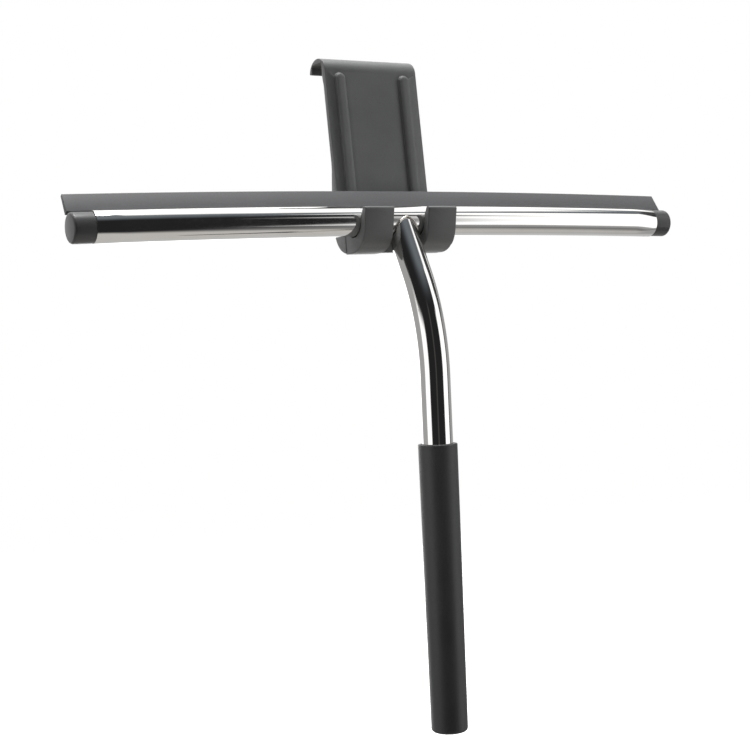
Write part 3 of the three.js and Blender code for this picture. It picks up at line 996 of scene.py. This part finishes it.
# %% Outlines of the holder
def plate_outline():
    shoulder = HOOK_TOP - HOOK_ROUND
    front = plate_front(shoulder)
    lip_front = GLASS_PLANE + GLASS_SLOT
    half_hook = (lip_front + LIP_WALL - front) / 2
    lip_bottom = HOOK_TOP - HOOK_LIP
    seat = HOOK_TOP - SEAT_DROP
    corner = 1.0 * MM
    lip_turn = math.degrees(math.asin((HOOK_ROUND - HOOK_LIP) / HOOK_ROUND))
    return [
        (CRADLE_R, -FOOT_BOTTOM),
        *curve((CRADLE_R, 4 * MM), (CRADLE_R, 6 * MM), (plate_front(9.5 * MM), 9.5 * MM), 8),
        *arc(front + half_hook, shoulder, (half_hook, HOOK_ROUND), 180, lip_turn, 40),
        (lip_front + 0.4 * MM, lip_bottom - 0.5 * MM),
        (lip_front, lip_bottom),
        *arc(lip_front - corner, seat - corner, corner, 0, 90, 6),
        *arc(GLASS_PLANE + corner, seat - corner, corner, 90, 180, 6),
        *curve(
            (GLASS_PLANE, shoulder - 1 * MM),
            (GLASS_PLANE, shoulder - 3.2 * MM),
            (plate_back(shoulder - 6 * MM), shoulder - 6 * MM),
            8,
        ),
        *curve(
            (plate_back(FOOT_TOP + 3 * MM), FOOT_TOP + 3 * MM),
            (plate_back(FOOT_TOP), FOOT_TOP),
            (plate_back(FOOT_TOP) + 0.6 * MM, FOOT_TOP - 3 * MM),
            6,
        ),
        (FOOT_BACK, PAD_HEIGHT + 1.5 * MM),
        *curve(
            (FOOT_BACK, -0.5 * MM),
            (FOOT_BACK - 0.5 * MM, 2.4 * MM - FOOT_BOTTOM),
            (CRADLE_R + 1.3 * MM, -FOOT_BOTTOM),
            14,
        ),
        (CRADLE_R, -FOOT_BOTTOM),
    ]


def cradle_outline():
    """The bore, the lip that flares out in front of it, and the round bottom."""
    back = CRADLE_R + 1 * MM
    lip_in = -CRADLE_R - CRADLE_LEAN
    lip_out = lip_in - CRADLE_WALL
    inner_lip = (lip_in, CRADLE_RISE - 0.9 * MM)
    outer_lip = (lip_out, CRADLE_RISE - 1.1 * MM)
    top = (lip_in - CRADLE_WALL / 2, CRADLE_RISE)
    waist = (-CRADLE_R - 3.2 * MM, -2 * MM)
    return [
        (back, 2 * MM),
        (CRADLE_R - 0.02 * MM, 2 * MM),
        *arc(0, 0, CRADLE_R, 0, -180, 40),
        *curve((-CRADLE_R, 0), (-CRADLE_R, 2 * MM), inner_lip, 10)[1:],
        *curve(inner_lip, (lip_in, CRADLE_RISE), top, 5)[1:],
        *curve(top, (lip_out, CRADLE_RISE), outer_lip, 5)[1:],
        *curve(outer_lip, (waist[0] - 0.3 * MM, 0), waist, 6)[1:],
        *curve(waist, (-CRADLE_R - 1.8 * MM, -9.2 * MM), (-4.8 * MM, -10.9 * MM), 12)[1:],
        *curve(
            (-4.8 * MM, -10.9 * MM),
            (-2.0 * MM, 0.1 * MM - CRADLE_BOTTOM),
            (2.0 * MM, -CRADLE_BOTTOM),
            10,
        )[1:],
        (back, -CRADLE_BOTTOM + 0.2 * MM),
        (back, 2 * MM),
    ]


# %% Plate, cradles and ribs
def run_across(name, outline, start, end):
    """An outline filled and extruded straight along X."""
    piece = open_mesh(name)
    draw_outline(start, outline)
    choose_all()
    bpy.ops.mesh.remove_doubles(threshold=TINY)
    choose_all()
    bpy.ops.mesh.edge_face_add()
    choose_all()
    extrude(x=end - start)
    mend()
    return piece


RIB_WIDTH = 4.2 * MM
RIB_HEIGHT = 1.6 * MM
RIB_FILLET = 0.7 * MM
RIB_BOTTOM = 10.0 * MM
RIB_TOP = HOOK_TOP - 6.8 * MM
RIB_PLACE = HALF_PLATE - 6.75 * MM
RIB_SINK = 0.02 * MM
CURVE_STEPS = 6


def make_rib():
    """A rib over the plate's middle: lying flat, standing up along Z, then leaned against the plate."""
    half = RIB_WIDTH / 2 + RIB_FILLET
    length = RIB_TOP - RIB_BOTTOM
    piece = open_mesh("rib")
    ends = [*arc(half, 0, half, 90, 270, 20), *arc(length - half, 0, half, -90, 90, 20)]
    bpy.ops.mesh.select_mode(type="VERT")
    bpy.ops.mesh.primitive_plane_add(size=MM, location=(0, 0, 0))
    bpy.ops.mesh.merge(type="CENTER")
    bpy.ops.transform.translate(value=(ends[0][1], ends[0][0], 0))
    for (y0, x0), (y1, x1) in zip(ends, [*ends[1:], ends[0]]):
        extrude(x=x1 - x0, y=y1 - y0)
    choose_all()
    bpy.ops.mesh.remove_doubles(threshold=TINY)
    choose_all()
    bpy.ops.mesh.edge_face_add()
    bpy.ops.mesh.normals_make_consistent(inside=False)
    extrude(z=PLATE_THICKNESS / 2)
    for k in range(CURVE_STEPS):
        a, b = (math.pi / 2 * t / CURVE_STEPS for t in (k, k + 1))
        inward = RIB_FILLET * 0.75 * (math.sin(b) - math.sin(a))
        upward = RIB_HEIGHT / 2 * (math.cos(a) - math.cos(b))
        bpy.ops.mesh.inset(thickness=inward, depth=upward)
    for k in range(CURVE_STEPS):
        a, b = (math.pi / 2 * t / CURVE_STEPS for t in (k, k + 1))
        inward = RIB_WIDTH * 0.36 * (math.cos(a) - math.cos(b))
        upward = RIB_HEIGHT / 2 * (math.sin(b) - math.sin(a))
        bpy.ops.mesh.inset(thickness=inward, depth=upward)
    mend()
    stand = Matrix.Translation((0, PLATE_THICKNESS / 2, 0)) @ Matrix.Rotation(math.pi / 2, 4, "X")
    place = Vector((0, plate_front(RIB_BOTTOM) - RIB_SINK, RIB_BOTTOM))
    lean = Matrix.Rotation(-math.atan(PLATE_SLOPE), 4, "X")
    settle(piece, Matrix.Translation(place) @ lean @ stand)
    return piece


def make_cradle():
    """The right cradle."""
    cradle = run_across("cradle", cradle_outline(), CRADLE_INNER, CRADLE_OUTER)
    soften(cradle, 0.4, segments=4, angle=35)
    return cradle


def make_holder():
    piece = run_across("hook_holder", plate_outline(), -HALF_PLATE, HALF_PLATE)
    soften(piece, 0.45, segments=4, angle=35)
    right_cradle, right_rib = make_cradle(), make_rib()
    left_cradle = copy_of(right_cradle, "left_cradle")
    left_rib = copy_of(right_rib, "left_rib")
    settle(left_cradle, Matrix.Translation((-CRADLE_INNER - CRADLE_OUTER, 0, 0)))
    settle(left_rib, Matrix.Translation((-RIB_PLACE, 0, 0)))
    settle(right_rib, Matrix.Translation((RIB_PLACE, 0, 0)))
    for addition in (left_cradle, left_rib, right_cradle, right_rib):
        combine(piece, addition, "UNION")
    recess = begin(
        "pad_recess",
        bpy.ops.mesh.primitive_cube_add,
        size=1,
        scale=(2 * PAD_HALF + 2 * GAP, 1.0 * MM, PAD_HEIGHT + 2 * GAP),
        location=(0, FOOT_BACK, PAD_HEIGHT / 2),
    )
    combine(piece, recess, "DIFFERENCE")
    move_to(piece, BAR_AXIS)
    modify(piece, "WEIGHTED_NORMAL", keep_sharp=True)
    return piece


hand_over(make_holder(), holder_plastic, "holder", "holder_body", smooth=35)

# %% [markdown]
# ## Pad
# A thin silicone pad in a shallow recess keeps the foot off the glass. The real one can't be seen, so
# this is the plainest one that does it: a block with rounded corners and softened edges.

# %% Pad behind the foot
def make_pad():
    piece = begin(
        "back_silicone_pad",
        bpy.ops.mesh.primitive_cube_add,
        size=1,
        scale=(2 * PAD_HALF, PAD_THICKNESS, PAD_HEIGHT),
        location=(0, 0, 0),
    )
    side, top = PAD_HALF - TINY, PAD_HEIGHT / 2 - TINY
    choose("EDGE", lambda e: abs(middle(e).x) > side and abs(middle(e).z) > top)
    bpy.ops.mesh.bevel(offset=PAD_CORNER, segments=6, affect="EDGES")
    soften(piece, 0.2, segments=3, angle=50)
    move_to(piece, BAR_AXIS + Vector((0, GLASS_PLANE - PAD_THICKNESS / 2, PAD_HEIGHT / 2)))
    return piece


hand_over(make_pad(), pad_silicone, "holder", "back_pad")
